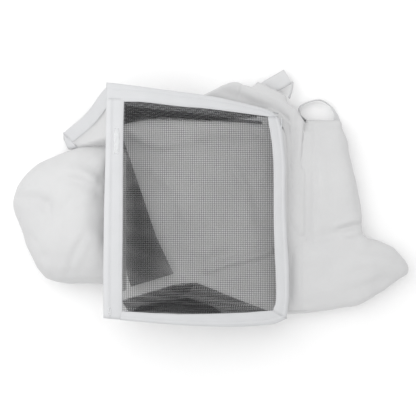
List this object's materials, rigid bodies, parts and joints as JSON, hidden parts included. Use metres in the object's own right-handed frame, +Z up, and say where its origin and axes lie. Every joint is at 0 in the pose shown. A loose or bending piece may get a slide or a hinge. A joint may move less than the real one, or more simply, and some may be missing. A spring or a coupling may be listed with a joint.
{
  "type": "beekeeping suit",
  "caption": "White cotton beekeeping smock lying folded flat, with a square box hood on top: a black mesh veil framed in tape, folded mesh gussets, and sleeves with thumb loops.",
  "frame": {"origin": "middle of the folded suit's footprint, on the surface that it lies on", "axes": "+X from the hood's crown to its neck and on to the sleeves, +Y towards the cuffs, +Z up through the veil"},
  "size_m": [0.6184, 0.3912, 0.1361],
  "materials": {
    "white_cotton": "plain-woven white cotton, matt",
    "white_binding_tape": "folded cotton tape, smooth and slightly blue-white",
    "white_strap": "narrow stitched cotton strap",
    "black_screen_mesh": "black coated open mesh, drawn as a thin sheet",
    "spring_steel": "flat spring steel, inside the tape",
    "clear_plastic": "clear glossy end caps"
  },
  "bodies": {
    "garment": {"torso_back_panel": "white_cotton", "torso_front_panel": "white_cotton", "torso_fold": "white_cotton", "waist_hem": "white_binding_tape", "waist_elastic": "white_strap", "shoulder_yoke": "white_cotton", "neck_seam_band": "white_binding_tape", "left_sleeve": "white_cotton", "left_cuff_hem": "white_binding_tape", "right_upper_sleeve": "white_cotton"},
    "hood_back": {"hood_back_panel": "white_cotton", "hood_back_crown_binding": "white_binding_tape", "hood_back_lower_binding": "white_binding_tape", "hood_back_upper_binding": "white_binding_tape", "neck_fold": "white_cotton"},
    "veil_front": {"front_screen": "black_screen_mesh", "crown_edge_binding": "white_binding_tape", "crown_edge_stay": "spring_steel", "lower_edge_binding": "white_binding_tape", "lower_edge_stay": "spring_steel", "neck_edge_binding": "white_binding_tape", "neck_edge_stay": "spring_steel", "upper_edge_binding": "white_binding_tape", "upper_edge_stay": "spring_steel", "upper_stay_tip": "clear_plastic", "lower_stay_tip": "clear_plastic"},
    "crown": {"crown_panel": "white_cotton", "crown_upper_binding": "white_binding_tape", "crown_back_binding": "white_binding_tape"},
    "upper_gusset_front": {"upper_gusset_front": "black_screen_mesh"},
    "upper_gusset_back": {"upper_gusset_back": "black_screen_mesh"},
    "lower_gusset_front": {"lower_gusset_front": "black_screen_mesh"},
    "lower_gusset_back": {"lower_gusset_back": "black_screen_mesh"},
    "corner_gusset": {"corner_gusset": "black_screen_mesh"},
    "right_forearm": {"right_forearm": "white_cotton", "right_cuff_hem": "white_binding_tape"},
    "right_thumb_loop": {"right_thumb_loop": "white_strap"},
    "left_thumb_loop": {"left_thumb_loop": "white_strap"}
  },
  "joints": [
    {"name": "hood_lift", "type": "hinge", "parent": "garment", "child": "hood_back", "pos_m": [0.11224, -0.02261, 0.0478], "axis": [0, 1, 0], "range_deg": [0, 60]},
    {"name": "veil_open", "type": "hinge", "parent": "hood_back", "child": "veil_front", "pos_m": [0.11224, -0.02261, 0.061], "axis": [0, 1, 0], "range_deg": [0, 16]},
    {"name": "upper_gusset_front_fold", "type": "hinge", "parent": "veil_front", "child": "upper_gusset_front", "pos_m": [-0.14383, 0.14739, 0.12782], "axis": [0.9669, -0.1096, -0.2304], "range_deg": [0, 34]},
    {"name": "lower_gusset_front_fold", "type": "hinge", "parent": "veil_front", "child": "lower_gusset_front", "pos_m": [0.10179, -0.18761, 0.0693], "axis": [-0.9722, 0.0358, 0.2316], "range_deg": [0, 45]},
    {"name": "upper_gusset_back_fold", "type": "hinge", "parent": "hood_back", "child": "upper_gusset_back", "pos_m": [0.11124, 0.11199, 0.0493], "axis": [-0.9906, 0.1366, 0], "range_deg": [0, 85]},
    {"name": "lower_gusset_back_fold", "type": "hinge", "parent": "hood_back", "child": "lower_gusset_back", "pos_m": [-0.14975, -0.18421, 0.0493], "axis": [0.9998, -0.0192, 0], "range_deg": [0, 85]},
    {"name": "crown_fold", "type": "hinge", "parent": "veil_front", "child": "crown", "pos_m": [-0.15331, -0.02261, 0.12905], "axis": [0, 1, 0], "range_deg": [-47, 0]},
    {"name": "corner_gusset_fold", "type": "hinge", "parent": "hood_back", "child": "corner_gusset", "pos_m": [-0.13525, -0.02261, 0.062], "axis": [0, -1, 0], "range_deg": [0, 60.2]},
    {"name": "right_forearm_lift", "type": "hinge", "parent": "garment", "child": "right_forearm", "pos_m": [0.19224, -0.06891, 0.04], "axis": [1, 0, 0], "range_deg": [0, 30]},
    {"name": "right_thumb_loop_swing", "type": "hinge", "parent": "right_forearm", "child": "right_thumb_loop", "pos_m": [0.17724, 0.11569, 0.016], "axis": [1, 0, 0], "range_deg": [0, 90]},
    {"name": "left_thumb_loop_swing", "type": "hinge", "parent": "garment", "child": "left_thumb_loop", "pos_m": [0.072, 0.17615, 0.025], "axis": [0.8981, -0.4399, 0], "range_deg": [0, 90]}
  ],
  "couplings": [
    {"joint": "upper_gusset_front_fold", "follows": "veil_open", "ratio": 2.1},
    {"joint": "lower_gusset_front_fold", "follows": "veil_open", "ratio": 2.8},
    {"joint": "upper_gusset_back_fold", "follows": "veil_open", "ratio": 5.3},
    {"joint": "lower_gusset_back_fold", "follows": "veil_open", "ratio": 5.3},
    {"joint": "crown_fold", "follows": "veil_open", "ratio": -2.9},
    {"joint": "corner_gusset_fold", "follows": "veil_open", "ratio": 3.75}
  ]
}
